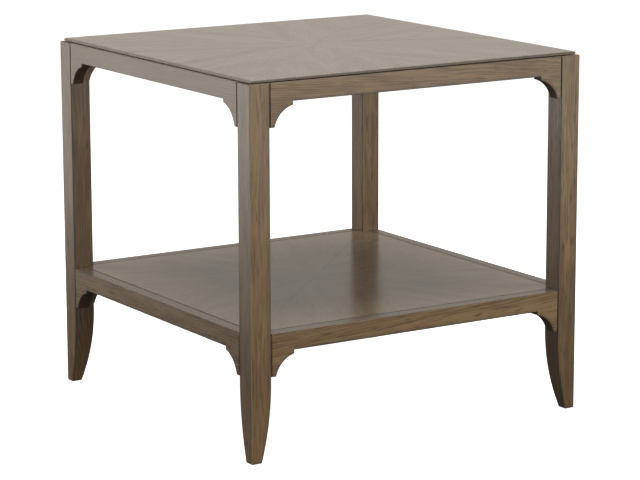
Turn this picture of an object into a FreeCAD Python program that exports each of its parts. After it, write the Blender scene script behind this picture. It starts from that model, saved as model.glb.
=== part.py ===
import FreeCAD, Part
import math
import os
from collections import namedtuple

# Square end table with a low shelf, in millimetres. The origin is on the floor under the
# middle of the table, +Z is up, +X runs along the front and +Y runs to the back.

# Frame
TABLE_WIDTH = 660.0          # over the legs, along X
TABLE_DEPTH = 660.0          # over the legs, along Y
FRAME_HEIGHT = 626.0         # floor to the tops of the legs and aprons
ARRIS_EASE = 0.8             # small chamfer on the arrises of the legs, aprons, rails and brackets

# Legs
LEG_SECTION = 38.0
FOOT_SECTION = 19.2
TAPER_HEIGHT = 136.0         # foot to the point where the inner faces begin to curve in

# Aprons under the top
APRON_HEIGHT = 32.0
APRON_THICKNESS = 20.0

# Rails round the shelf
SHELF_LEVEL = 215.8          # floor to the shelf's surface
RAIL_HEIGHT = 32.0
RAIL_THICKNESS = 22.0

# Arched brackets in the corners
BRACKET_REACH = 44.5         # along the apron, from the leg
BRACKET_DROP = 40.5          # down the leg, from the apron
BRACKET_STEP = 6.2           # square end under the apron
BRACKET_FOOT = 9.5           # flat end beside the leg
BRACKET_RADIUS = 46.0

# Reveal grooves where aprons, rails and brackets meet the legs
REVEAL_WIDTH = 1.6
REVEAL_DEPTH = 2.5
RAIL_REVEAL_WIDTH = 1.2

# Tenons of the aprons and rails, and their mortises in the legs
TENON_THICKNESS = 8.0
TENON_SHOULDER = 5.0         # above and below a tenon
TENON_WALL = 3.0             # wood left between two tenons that meet in a leg
MORTISE_FIT = 0.1            # round a tenon
MORTISE_END_GAP = 1.0        # beyond the end of a tenon

# Top panel
TOP_INSET = 5.5              # edge of the top, in from the frame's outer faces
TOP_EDGE = 4.5               # height of the edge that shows
TOP_CHAMFER = 1.8
TOP_CORE_THICKNESS = 18.0
TOP_FIT = 0.5                # between the core and the frame round it
SHADOW_GAP = 1.5             # between the frame and the top's overhanging edge
LIPPING_WIDTH = 10.0
VENEER = 0.8

# Shelf panel
SHELF_CORE_THICKNESS = 15.0
SHELF_FIT = 0.6              # joint line between the panel and the frame round it

# Corner blocks that carry the top
BLOCK_HEIGHT = 15.0
BLOCK_WIDTH = 30.0
BLOCK_LEG_GAP = 3.0          # between a block and the leg's inner corner

# Cleats that carry the shelf
CLEAT_HEIGHT = 12.0
CLEAT_WIDTH = 18.0
CLEAT_END_GAP = 15.0         # between a cleat's end and the leg

# Screws
SCREW_DIAMETER = 4.0
SCREW_HEAD_DIAMETER = 8.0
SCREW_HEAD_HEIGHT = 2.5
SCREW_BITE = 11.0            # length in the piece that a screw holds
HOLE_FIT = 0.05              # round each screw and glide pin

# Glides under the feet
GLIDE_DIAMETER = 12.0
GLIDE_HEIGHT = 1.0
GLIDE_PIN_DIAMETER = 2.5
GLIDE_PIN_LENGTH = 14.0

# Levels and lengths that follow
TOP_LEVEL = FRAME_HEIGHT + SHADOW_GAP + TOP_EDGE
TOP_CORE_LEVEL = TOP_LEVEL - VENEER
TOP_SEAT = TOP_CORE_LEVEL - TOP_CORE_THICKNESS
APRON_LEVEL = FRAME_HEIGHT - APRON_HEIGHT
RAIL_LEVEL = SHELF_LEVEL - RAIL_HEIGHT
SHELF_CORE_LEVEL = SHELF_LEVEL - VENEER
SHELF_SEAT = SHELF_CORE_LEVEL - SHELF_CORE_THICKNESS
BLOCK_SHORT_END = 2 * (LEG_SECTION - APRON_THICKNESS) + BLOCK_LEG_GAP * math.sqrt(2)
BLOCK_LONG_END = BLOCK_SHORT_END + BLOCK_WIDTH * math.sqrt(2)

ORIGIN = FreeCAD.Vector(0, 0, 0)
ALONG = FreeCAD.Vector(1, 0, 0)
INWARD = FreeCAD.Vector(0, 1, 0)
UP = FreeCAD.Vector(0, 0, 1)
SWAP_X_AND_Y = FreeCAD.Vector(1, -1, 0)

# A side is drawn with its outer face on y = 0 and its inside towards +y
Side = namedtuple("Side", "turn span reach")
SIDES = {
    "front": Side(0, TABLE_WIDTH - 2 * LEG_SECTION, TABLE_DEPTH / 2),
    "right": Side(90, TABLE_DEPTH - 2 * LEG_SECTION, TABLE_WIDTH / 2),
    "back": Side(180, TABLE_WIDTH - 2 * LEG_SECTION, TABLE_DEPTH / 2),
    "left": Side(270, TABLE_DEPTH - 2 * LEG_SECTION, TABLE_WIDTH / 2),
}

# A corner is drawn with its outer corner on the origin and the table towards +x and +y
Corner = namedtuple("Corner", "turn back_x back_y")
CORNERS = {
    "front_left": Corner(0, TABLE_WIDTH / 2, TABLE_DEPTH / 2),
    "front_right": Corner(90, TABLE_DEPTH / 2, TABLE_WIDTH / 2),
    "back_right": Corner(180, TABLE_WIDTH / 2, TABLE_DEPTH / 2),
    "back_left": Corner(270, TABLE_DEPTH / 2, TABLE_WIDTH / 2),
}

# An apron or rail, by its underside's level and its section
Member = namedtuple("Member", "level height thickness reveal")
APRON = Member(APRON_LEVEL, APRON_HEIGHT, APRON_THICKNESS, REVEAL_WIDTH)
RAIL = Member(RAIL_LEVEL, RAIL_HEIGHT, RAIL_THICKNESS, RAIL_REVEAL_WIDTH)

# A fastener and the hole that it needs
Fastener = namedtuple("Fastener", "body hole")


def on_side(shape, side):
    """Carry a shape from a side's own frame to the table."""
    placed = shape.copy()
    placed.translate(FreeCAD.Vector(0, -side.reach, 0))
    placed.rotate(ORIGIN, UP, side.turn)
    return placed


def at_corner(shape, corner):
    """Carry a shape from a corner's own frame to the table."""
    placed = shape.copy()
    placed.translate(FreeCAD.Vector(-corner.back_x, -corner.back_y, 0))
    placed.rotate(ORIGIN, UP, corner.turn)
    return placed


def other_way(shape):
    """Mirror a corner's shape from its X side to its Y side."""
    return shape.mirror(ORIGIN, SWAP_X_AND_Y)


def other_end(shape):
    """Mirror a side's shape from its left end to its right end."""
    return shape.mirror(ORIGIN, ALONG)


def polygon(points):
    """Closed wire through a list of vectors."""
    return Part.makePolygon(points + points[:1])


def plate(plan, bottom, top):
    """Flat piece of a plan outline, between two levels."""
    outline = polygon([FreeCAD.Vector(x, y, bottom) for x, y in plan])
    return Part.Face(outline).extrude(UP * (top - bottom))


def turned(profile):
    """Solid of revolution about Z from (radius, height) points."""
    outline = polygon([FreeCAD.Vector(radius, 0, height) for radius, height in profile])
    return Part.Face(outline).revolve(ORIGIN, UP, 360)


def pointed(shape, start, direction):
    """Turn a shape from +Z to a direction and move its start to a point."""
    placed = shape.copy()
    placed.Placement = FreeCAD.Placement(start, FreeCAD.Rotation(UP, direction))
    return placed


def outer_face_edges(shape):
    """Edges round a side piece's outer face, on y = 0."""
    outer_face = min(shape.Faces, key=lambda face: face.CenterOfMass.y)
    return outer_face.Edges


def bored(piece, fasteners):
    """Cut the holes of every fastener that comes near a piece."""
    holes = [fastener.hole for fastener in fasteners]
    near = [hole for hole in holes if hole.BoundBox.intersect(piece.BoundBox)]
    return piece.cut(near) if near else piece


def tenon_line(member):
    """Middle of a tenon's thickness, in from the outer face."""
    return (REVEAL_DEPTH + member.thickness) / 2


def tenon_length(member):
    """Reach of a tenon into the leg, short of the one that comes from the other side."""
    return LEG_SECTION - tenon_line(member) - TENON_THICKNESS / 2 - TENON_WALL


def tenon_bar(member, start, length, fit):
    """Bar of a tenon's section along X, grown by a fit."""
    corner = FreeCAD.Vector(
        start, tenon_line(member) - TENON_THICKNESS / 2 - fit, member.level + TENON_SHOULDER - fit
    )
    height = member.height - 2 * TENON_SHOULDER + 2 * fit
    return Part.makeBox(length, TENON_THICKNESS + 2 * fit, height, corner)


def mortise(member):
    """Pocket in a leg's inner face for the tenon of an apron or rail along X."""
    depth = tenon_length(member) + MORTISE_END_GAP
    return tenon_bar(member, LEG_SECTION - depth, depth, MORTISE_FIT)


def leg():
    """Leg with straight outer faces and inner faces that curve in to the foot."""
    inset = LEG_SECTION - FOOT_SECTION
    radius = (TAPER_HEIGHT ** 2 + inset ** 2) / (2 * inset)
    half_turn = math.asin(TAPER_HEIGHT / radius) / 2
    knee_level = GLIDE_HEIGHT + TAPER_HEIGHT
    calf_in = LEG_SECTION - radius * (1 - math.cos(half_turn))
    heel = FreeCAD.Vector(0, 0, GLIDE_HEIGHT)
    toe = FreeCAD.Vector(FOOT_SECTION, 0, GLIDE_HEIGHT)
    calf = FreeCAD.Vector(calf_in, 0, knee_level - radius * math.sin(half_turn))
    knee = FreeCAD.Vector(LEG_SECTION, 0, knee_level)
    inner_top = FreeCAD.Vector(LEG_SECTION, 0, FRAME_HEIGHT)
    outer_top = FreeCAD.Vector(0, 0, FRAME_HEIGHT)
    edges = [
        Part.LineSegment(heel, toe).toShape(),
        Part.Arc(toe, calf, knee).toShape(),
        Part.LineSegment(knee, inner_top).toShape(),
        Part.LineSegment(inner_top, outer_top).toShape(),
        Part.LineSegment(outer_top, heel).toShape(),
    ]
    tapered = Part.Face(Part.Wire(edges)).extrude(INWARD * LEG_SECTION)
    blank = tapered.common(other_way(tapered))
    shaped = blank.makeChamfer(ARRIS_EASE, blank.Edges)
    mortises = [mortise(APRON), mortise(RAIL)]
    return shaped.cut(mortises + [other_way(pocket) for pocket in mortises])


def lower_arris(span, member):
    """Wedge that eases the lower arris of an apron or rail, stopped at its brackets."""
    half = span / 2 - BRACKET_REACH
    arris = FreeCAD.Vector(-half, 0, member.level)
    section = polygon([arris, arris + INWARD * ARRIS_EASE, arris + UP * ARRIS_EASE])
    return Part.Face(section).extrude(ALONG * (2 * half))


def cross_member(span, member):
    """Apron or rail between two legs, with its tenons, rebated at both ends for the reveal grooves."""
    half = span / 2
    face = half - member.reveal
    plan = [
        (-face, 0),
        (face, 0),
        (face, REVEAL_DEPTH),
        (half, REVEAL_DEPTH),
        (half, member.thickness),
        (-half, member.thickness),
        (-half, REVEAL_DEPTH),
        (-face, REVEAL_DEPTH),
    ]
    board = plate(plan, member.level, member.level + member.height)
    above = [edge for edge in outer_face_edges(board) if edge.CenterOfMass.z > member.level + ARRIS_EASE]
    board = board.makeChamfer(ARRIS_EASE, above).cut(lower_arris(span, member))
    reach = half + tenon_length(member)
    return board.fuse(tenon_bar(member, -reach, 2 * reach, 0)).removeSplitter()


def bracket(span, member):
    """Arched bracket at the left end of a side, hung from an apron or rail."""
    corner = -span / 2
    bottom = member.level - BRACKET_DROP
    foot_end = FreeCAD.Vector(corner + BRACKET_FOOT, 0, bottom)
    step_end = FreeCAD.Vector(corner + BRACKET_REACH, 0, member.level - BRACKET_STEP)
    chord = step_end - foot_end
    rise = BRACKET_RADIUS - math.sqrt(BRACKET_RADIUS ** 2 - (chord.Length / 2) ** 2)
    hollow = FreeCAD.Vector(-chord.z, 0, chord.x).normalize()
    crown = (foot_end + step_end) / 2 + hollow * rise
    leg_top = FreeCAD.Vector(corner, 0, member.level)
    leg_bottom = FreeCAD.Vector(corner, 0, bottom)
    step_top = FreeCAD.Vector(corner + BRACKET_REACH, 0, member.level)
    edges = [
        Part.LineSegment(leg_top, leg_bottom).toShape(),
        Part.LineSegment(leg_bottom, foot_end).toShape(),
        Part.Arc(foot_end, crown, step_end).toShape(),
        Part.LineSegment(step_end, step_top).toShape(),
        Part.LineSegment(step_top, leg_top).toShape(),
    ]
    block = Part.Face(Part.Wire(edges)).extrude(INWARD * member.thickness)
    groove = Part.makeBox(REVEAL_WIDTH, REVEAL_DEPTH, BRACKET_DROP, leg_bottom)
    block = block.cut(groove)
    below = [edge for edge in outer_face_edges(block) if edge.CenterOfMass.z < member.level - ARRIS_EASE]
    return block.makeChamfer(ARRIS_EASE, below)


def panel_plan(member_thickness, fit):
    """Plan of a panel that fits inside the aprons or the rails, notched round the legs."""
    half_x = TABLE_WIDTH / 2 - member_thickness - fit
    half_y = TABLE_DEPTH / 2 - member_thickness - fit
    leg_x = TABLE_WIDTH / 2 - LEG_SECTION - fit
    leg_y = TABLE_DEPTH / 2 - LEG_SECTION - fit
    return [
        (-leg_x, -half_y),
        (leg_x, -half_y),
        (leg_x, -leg_y),
        (half_x, -leg_y),
        (half_x, leg_y),
        (leg_x, leg_y),
        (leg_x, half_y),
        (-leg_x, half_y),
        (-leg_x, leg_y),
        (-half_x, leg_y),
        (-half_x, -leg_y),
        (-leg_x, -leg_y),
    ]


def top_core():
    """Core of the top: a body inside the aprons and a thin tongue over them."""
    tongue_level = TOP_LEVEL - TOP_EDGE
    body = plate(panel_plan(APRON_THICKNESS, TOP_FIT), TOP_SEAT, tongue_level)
    half_x = TABLE_WIDTH / 2 - TOP_INSET - LIPPING_WIDTH
    half_y = TABLE_DEPTH / 2 - TOP_INSET - LIPPING_WIDTH
    tongue_plan = [(-half_x, -half_y), (half_x, -half_y), (half_x, half_y), (-half_x, half_y)]
    tongue = plate(tongue_plan, tongue_level, TOP_CORE_LEVEL)
    return body.fuse(tongue).removeSplitter()


def lipping(span):
    """Mitred strip along one edge of the top's core, chamfered along its upper arris."""
    half = span / 2 + LEG_SECTION - TOP_INSET
    bottom = TOP_LEVEL - TOP_EDGE
    section = [
        (0, bottom),
        (LIPPING_WIDTH, bottom),
        (LIPPING_WIDTH, TOP_CORE_LEVEL),
        (TOP_CHAMFER - VENEER, TOP_CORE_LEVEL),
        (0, TOP_LEVEL - TOP_CHAMFER),
    ]
    left = polygon([FreeCAD.Vector(y - half, TOP_INSET + y, z) for y, z in section])
    right = polygon([FreeCAD.Vector(half - y, TOP_INSET + y, z) for y, z in section])
    return Part.makeLoft([left, right], True, True)


def leaf_plans(half_x, half_y):
    """Plans of the eight leaves that meet at the centre, two to a side."""
    rim = [
        (half_x, 0),
        (half_x, half_y),
        (0, half_y),
        (-half_x, half_y),
        (-half_x, 0),
        (-half_x, -half_y),
        (0, -half_y),
        (half_x, -half_y),
    ]
    return [[(0, 0), start, end] for start, end in zip(rim, rim[1:] + rim[:1])]


def top_veneer():
    """Eight matched leaves over the top, cut back by the chamfer along their outer edges."""
    low_margin = TOP_INSET + TOP_CHAMFER - VENEER
    high_margin = TOP_INSET + TOP_CHAMFER
    low_plans = leaf_plans(TABLE_WIDTH / 2 - low_margin, TABLE_DEPTH / 2 - low_margin)
    high_plans = leaf_plans(TABLE_WIDTH / 2 - high_margin, TABLE_DEPTH / 2 - high_margin)
    leaves = []
    for low, high in zip(low_plans, high_plans):
        under = polygon([FreeCAD.Vector(x, y, TOP_CORE_LEVEL) for x, y in low])
        over = polygon([FreeCAD.Vector(x, y, TOP_LEVEL) for x, y in high])
        leaves.append(Part.makeLoft([under, over], True, True))
    return Part.makeCompound(leaves)


def shelf_core():
    """Core of the shelf, inside the rails and notched round the legs."""
    return plate(panel_plan(RAIL_THICKNESS, SHELF_FIT), SHELF_SEAT, SHELF_CORE_LEVEL)


def shelf_veneer():
    """Eight matched leaves over the shelf's core."""
    skin = plate(panel_plan(RAIL_THICKNESS, SHELF_FIT), SHELF_CORE_LEVEL, SHELF_LEVEL)
    plans = leaf_plans(TABLE_WIDTH / 2, TABLE_DEPTH / 2)
    leaves = [skin.common(plate(plan, SHELF_CORE_LEVEL, SHELF_LEVEL)) for plan in plans]
    return Part.makeCompound([leaf.Solids[0] for leaf in leaves])


def corner_block():
    """Diagonal block between two aprons, under the top."""
    near = APRON_THICKNESS + BLOCK_SHORT_END
    far = APRON_THICKNESS + BLOCK_LONG_END
    plan = [(near, APRON_THICKNESS), (far, APRON_THICKNESS), (APRON_THICKNESS, far), (APRON_THICKNESS, near)]
    return plate(plan, TOP_SEAT - BLOCK_HEIGHT, TOP_SEAT)


def cleat(span):
    """Strip along the inside of a rail, under the shelf."""
    length = span - 2 * CLEAT_END_GAP
    start = FreeCAD.Vector(-length / 2, RAIL_THICKNESS, SHELF_SEAT - CLEAT_HEIGHT)
    return Part.makeBox(length, CLEAT_WIDTH, CLEAT_HEIGHT, start)


def screw(cover, start, direction):
    """Round-headed screw through a cover, with its head on the cover's face at a start point."""
    head = SCREW_HEAD_DIAMETER / 2
    shank = SCREW_DIAMETER / 2
    length = cover + SCREW_BITE
    profile = [
        (0, -SCREW_HEAD_HEIGHT),
        (head, -SCREW_HEAD_HEIGHT),
        (head, 0),
        (shank, 0),
        (shank, length),
        (0, length),
    ]
    hole = Part.makeCylinder(shank + HOLE_FIT, length + HOLE_FIT)
    return Fastener(pointed(turned(profile), start, direction), pointed(hole, start, direction))


def top_screw():
    """Screw from under the middle of a corner block up into the top's core."""
    middle = APRON_THICKNESS + (BLOCK_SHORT_END + BLOCK_LONG_END) / 4
    start = FreeCAD.Vector(middle, middle, TOP_SEAT - BLOCK_HEIGHT)
    return screw(BLOCK_HEIGHT, start, UP)


def shelf_screw():
    """Screw from under the middle of a cleat up into the shelf's core."""
    start = FreeCAD.Vector(0, RAIL_THICKNESS + CLEAT_WIDTH / 2, SHELF_SEAT - CLEAT_HEIGHT)
    return screw(CLEAT_HEIGHT, start, UP)


def glide():
    """Tack glide under a foot: a round pad with a pin that goes up into the leg."""
    radius = GLIDE_DIAMETER / 2
    pin = GLIDE_PIN_DIAMETER / 2
    tip = GLIDE_HEIGHT + GLIDE_PIN_LENGTH
    profile = [(0, 0), (radius, 0), (radius, GLIDE_HEIGHT), (pin, GLIDE_HEIGHT), (pin, tip), (0, tip)]
    hole = Part.makeCylinder(pin + HOLE_FIT, tip + HOLE_FIT)
    middle = FreeCAD.Vector(FOOT_SECTION / 2, FOOT_SECTION / 2, 0)
    return Fastener(pointed(turned(profile), middle, UP), pointed(hole, middle, UP))


def placed_fasteners(fasteners, place, where):
    """Carry fasteners and their holes to the table."""
    return [Fastener(place(one.body, where), place(one.hole, where)) for one in fasteners]


def at_every_corner(fasteners):
    """Repeat a corner's fasteners at the four corners."""
    corners = CORNERS.values()
    return [one for corner in corners for one in placed_fasteners(fasteners, at_corner, corner)]


def on_every_side(fasteners):
    """Repeat a side's fasteners on the four sides."""
    sides = SIDES.values()
    return [one for side in sides for one in placed_fasteners(fasteners, on_side, side)]


def side_pieces(name, side):
    """The wooden pieces of one side of the table."""
    apron_bracket = bracket(side.span, APRON)
    rail_bracket = bracket(side.span, RAIL)
    pieces = {
        "apron_" + name: cross_member(side.span, APRON),
        "apron_bracket_" + name + "_a": apron_bracket,
        "apron_bracket_" + name + "_b": other_end(apron_bracket),
        "shelf_rail_" + name: cross_member(side.span, RAIL),
        "rail_bracket_" + name + "_a": rail_bracket,
        "rail_bracket_" + name + "_b": other_end(rail_bracket),
        "shelf_cleat_" + name: cleat(side.span),
        "top_lipping_" + name: lipping(side.span),
    }
    return {node: on_side(shape, side) for node, shape in pieces.items()}


def corner_pieces(name, corner):
    """The wooden pieces of one corner of the table."""
    pieces = {"leg_" + name: leg(), "corner_block_" + name: corner_block()}
    return {node: at_corner(shape, corner) for node, shape in pieces.items()}


def table():
    """Every piece of the table by name, bored for its fasteners."""
    wood = {"top_core": top_core(), "shelf_core": shelf_core()}
    for name, side in SIDES.items():
        wood.update(side_pieces(name, side))
    for name, corner in CORNERS.items():
        wood.update(corner_pieces(name, corner))
    groups = {
        "top_screws": at_every_corner([top_screw()]),
        "shelf_screws": on_every_side([shelf_screw()]),
    }
    for name, corner in CORNERS.items():
        groups["foot_glide_" + name] = placed_fasteners([glide()], at_corner, corner)
    fasteners = [one for group in groups.values() for one in group]
    pieces = {node: bored(shape, fasteners) for node, shape in wood.items()}
    for name, group in groups.items():
        pieces[name] = Part.makeCompound([one.body for one in group])
    pieces["top_veneer"] = top_veneer()
    pieces["shelf_veneer"] = shelf_veneer()
    return pieces


os.makedirs("parts", exist_ok=True)
for node, shape in table().items():
    shape.exportStep("parts/" + node + ".step")
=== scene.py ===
"""Finishes, studio and camera of a square end table with a low shelf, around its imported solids."""

import logging
import math
from dataclasses import dataclass, replace
from enum import Enum
from typing import Mapping, Optional, Sequence, Union

import bmesh
import bpy
from mathutils import Euler, Matrix, Vector


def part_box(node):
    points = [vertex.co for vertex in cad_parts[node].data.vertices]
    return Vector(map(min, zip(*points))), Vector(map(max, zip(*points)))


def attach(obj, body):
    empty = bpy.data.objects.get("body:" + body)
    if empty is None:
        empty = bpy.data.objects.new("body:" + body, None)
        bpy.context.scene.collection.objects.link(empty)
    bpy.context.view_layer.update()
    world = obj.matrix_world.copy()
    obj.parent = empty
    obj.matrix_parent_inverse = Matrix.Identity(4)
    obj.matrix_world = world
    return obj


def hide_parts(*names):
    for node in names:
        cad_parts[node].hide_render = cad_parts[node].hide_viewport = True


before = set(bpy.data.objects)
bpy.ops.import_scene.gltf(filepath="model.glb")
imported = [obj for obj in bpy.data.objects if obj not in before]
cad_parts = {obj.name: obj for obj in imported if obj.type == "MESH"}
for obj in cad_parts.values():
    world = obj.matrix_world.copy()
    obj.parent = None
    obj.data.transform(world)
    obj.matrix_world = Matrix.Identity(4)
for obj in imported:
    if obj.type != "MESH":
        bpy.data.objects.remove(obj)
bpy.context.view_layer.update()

LOG = logging.getLogger("end_table")
BODY = "root"
MERGE_WITHIN = 1e-6
SHARP_ANGLE = math.radians(38.0)

Pair = tuple[float, float]
Triple = tuple[float, float, float]
Key = Union[int, str]
Input = Union["Signal", float, int, Sequence[float]]


class Side(Enum):
    """The four sides of the table, by the name that their pieces carry."""

    FRONT = "front"
    RIGHT = "right"
    BACK = "back"
    LEFT = "left"


class Corner(Enum):
    """The four corners of the table, by the name that their pieces carry."""

    FRONT_LEFT = "front_left"
    FRONT_RIGHT = "front_right"
    BACK_RIGHT = "back_right"
    BACK_LEFT = "back_left"


class Grain(Enum):
    """The axis that a board's grain runs along, as the places of along, face and depth in X, Y, Z."""

    ALONG_X = (0, 2, 1)
    ALONG_Y = (1, 2, 0)
    UPRIGHT = (2, 0, 1)


SIDE_GRAIN = {
    Side.FRONT: Grain.ALONG_X,
    Side.RIGHT: Grain.ALONG_Y,
    Side.BACK: Grain.ALONG_X,
    Side.LEFT: Grain.ALONG_Y,
}


class Signal:
    """One output of a shader graph, which takes part in Python arithmetic."""

    def __init__(self, graph: "ShaderGraph", socket: bpy.types.NodeSocket) -> None:
        """Keep the graph and the output socket."""
        self.graph = graph
        self.socket = socket

    def __add__(self, other: Input) -> "Signal":
        """This signal plus another or a number."""
        return self.graph.math("ADD", self, other)

    def __radd__(self, other: Input) -> "Signal":
        """A number plus this signal."""
        return self.graph.math("ADD", other, self)

    def __sub__(self, other: Input) -> "Signal":
        """This signal less another or a number."""
        return self.graph.math("SUBTRACT", self, other)

    def __rsub__(self, other: Input) -> "Signal":
        """A number less this signal."""
        return self.graph.math("SUBTRACT", other, self)

    def __mul__(self, other: Input) -> "Signal":
        """This signal times another or a number."""
        return self.graph.math("MULTIPLY", self, other)

    def __rmul__(self, other: Input) -> "Signal":
        """A number times this signal."""
        return self.graph.math("MULTIPLY", other, self)

    def __abs__(self) -> "Signal":
        """This signal without its sign."""
        return self.graph.math("ABSOLUTE", self)

    def root(self) -> "Signal":
        """The square root of this signal."""
        return self.graph.math("SQRT", self)

    def fraction(self) -> "Signal":
        """This signal's part after the point."""
        return self.graph.math("FRACT", self)

    def larger(self, other: Input) -> "Signal":
        """The larger of this signal and another."""
        return self.graph.math("MAXIMUM", self, other)

    def smaller(self, other: Input) -> "Signal":
        """The smaller of this signal and another."""
        return self.graph.math("MINIMUM", self, other)

    def above(self, other: Input) -> "Signal":
        """One where this signal is above another, else zero."""
        return self.graph.math("GREATER_THAN", self, other)

    def centred(self) -> "Signal":
        """This noise, moved from one half to lie about zero."""
        return self - 0.5

    def rise(self, step: Pair) -> "Signal":
        """Smooth step of this signal.

        Args:
            step: the values at which it leaves zero and reaches one.

        Returns:
            The step, from zero to one.
        """
        low, high = step
        settings = {"interpolation_type": "SMOOTHSTEP"}
        inputs = {"Value": self, "From Min": low, "From Max": high}
        return self.graph.out(self.graph.node("ShaderNodeMapRange", settings, inputs), "Result")


class ShaderGraph:
    """A node tree that is written as expressions."""

    def __init__(self, tree: bpy.types.NodeTree) -> None:
        """Start from an empty tree."""
        self.tree = tree
        self.tree.nodes.clear()

    def node(
        self,
        kind: str,
        settings: Optional[Mapping[str, object]] = None,
        inputs: Optional[Mapping[Key, Input]] = None,
    ) -> bpy.types.Node:
        """Add one node.

        Args:
            kind: the node's type.
            settings: attributes of the node, set before its sockets.
            inputs: values or signals of its input sockets, by name or place.

        Returns:
            The node.
        """
        node = self.tree.nodes.new(kind)
        for name, value in (settings or {}).items():
            setattr(node, name, value)
        for key, value in (inputs or {}).items():
            if isinstance(value, Signal):
                self.tree.links.new(value.socket, node.inputs[key])
            else:
                node.inputs[key].default_value = value
        return node

    def out(self, node: bpy.types.Node, output: Key = 0) -> Signal:
        """One output of a node as a signal."""
        return Signal(self, node.outputs[output])

    def math(self, operation: str, *operands: Input) -> Signal:
        """Add a Math node for one operation on its operands."""
        return self.out(self.node("ShaderNodeMath", {"operation": operation}, dict(enumerate(operands))))

    def vector(self, operation: str, output: str, *operands: Input) -> Signal:
        """Add a Vector Math node for one operation on its operands."""
        node = self.node("ShaderNodeVectorMath", {"operation": operation}, dict(enumerate(operands)))
        return self.out(node, output)

    def dot(self, first: Input, second: Input) -> Signal:
        """How far two directions agree, one where they are the same."""
        return self.vector("DOT_PRODUCT", "Value", first, second)

    def split(self, vector: Signal) -> list[Signal]:
        """The three parts of a vector."""
        node = self.node("ShaderNodeSeparateXYZ", inputs={0: vector})
        return [self.out(node, place) for place in range(3)]

    def join(self, *parts: Input) -> Signal:
        """A vector from its three parts."""
        return self.out(self.node("ShaderNodeCombineXYZ", inputs=dict(enumerate(parts))))

    def blend(self, factor: Input, first: Input, second: Input) -> Signal:
        """Mix two colours.

        Args:
            factor: share of the second colour.
            first: colour or signal.
            second: colour or signal.

        Returns:
            The mixed colour.
        """
        inputs = {0: factor, 6: self.rgba(first), 7: self.rgba(second)}
        return self.out(self.node("ShaderNodeMix", {"data_type": "RGBA"}, inputs), 2)

    @staticmethod
    def rgba(colour: Input) -> Input:
        """A colour with its fourth part, or a signal as it is."""
        return colour if isinstance(colour, Signal) else (*colour, 1.0)

    def place(self) -> Signal:
        """Object coordinates, in metres from the middle of the floor under the table."""
        return self.out(self.node("ShaderNodeTexCoord"), "Object")

    def relief(self, height: Signal, strength: float, depth: float) -> Signal:
        """Surface direction from a height.

        Args:
            height: zero at the bottom of the relief and one at its top.
            strength: share of the relief that shows.
            depth: the relief's depth in metres.

        Returns:
            The bumped normal.
        """
        inputs = {"Strength": strength, "Distance": depth, "Height": height}
        return self.out(self.node("ShaderNodeBump", inputs=inputs))

    def shader(self, **sockets: Input) -> Signal:
        """One principled surface, its sockets named with _ for each space."""
        inputs = {name.replace("_", " "): value for name, value in sockets.items()}
        return self.out(self.node("ShaderNodeBsdfPrincipled", inputs=inputs))

    def surface(self, **sockets: Input) -> None:
        """End the graph in one principled surface, its sockets named with _ for each space."""
        self.node("ShaderNodeOutputMaterial", inputs={"Surface": self.shader(**sockets)})

    def mix(self, factor: Signal, first: Signal, second: Signal) -> Signal:
        """Mix two shaders by the share of the second."""
        return self.out(self.node("ShaderNodeMixShader", inputs={0: factor, 1: first, 2: second}))


@dataclass(frozen=True)
class Waves:
    """Soft noise: its features to the metre, where it starts, and how far a board's seed moves it."""

    stretch: Triple
    start: Triple = (0.0, 0.0, 0.0)
    per_seed: Triple = (1.0, 0.0, 0.0)
    octaves: float = 2.0
    rough: float = 0.5

    def scaled(self, along: float, across: float) -> "Waves":
        """The same noise with more or fewer features along and across the grain."""
        length, width, depth = self.stretch
        return replace(self, stretch=(length * along, width * across, depth * across))

    def read(self, graph: ShaderGraph, vector: Signal, seed: float = 0.0) -> Signal:
        """Add the noise to a graph.

        Args:
            graph: where the nodes go.
            vector: where the noise is read, in metres.
            seed: the board's seed.

        Returns:
            Values around one half.
        """
        shift = tuple(first + seed * step for first, step in zip(self.start, self.per_seed))
        spread = {"Vector": vector, "Location": shift, "Scale": self.stretch}
        mapped = graph.out(graph.node("ShaderNodeMapping", inputs=spread))
        inputs = {"Vector": mapped, "Scale": 1.0, "Detail": self.octaves, "Roughness": self.rough}
        return graph.out(graph.node("ShaderNodeTexNoise", {"noise_dimensions": "3D"}, inputs))


class Finish:
    """What a piece's surface is made of, as one material."""

    def material(self, name: str) -> bpy.types.Material:
        """Make the material.

        Args:
            name: the material's name.

        Returns:
            The material.
        """
        material = bpy.data.materials.new(name)
        material.use_nodes = True
        self.write(ShaderGraph(material.node_tree))
        return material

    def write(self, graph: ShaderGraph) -> None:
        """Write the finish's nodes into an empty graph."""
        raise NotImplementedError


def middle_of(node: str) -> Triple:
    """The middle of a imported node's box, in metres."""
    low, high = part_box(node)
    return tuple((low + high) / 2)


def dress_node(node: str, material: bpy.types.Material) -> None:
    """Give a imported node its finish.

    Args:
        node: the node's name.
        material: what fills its material slots.
    """
    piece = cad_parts[node]
    if not piece.material_slots:
        piece.data.materials.append(material)
    for slot in piece.material_slots:
        slot.material = material
    LOG.info("dressed %s with %s", node, material.name)


def merge_and_face_out(shell: bmesh.types.BMesh) -> None:
    """Close a mesh's seams and poles and turn its faces outwards."""
    bmesh.ops.remove_doubles(shell, verts=shell.verts, dist=MERGE_WITHIN)
    bmesh.ops.recalc_face_normals(shell, faces=shell.faces)


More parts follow.
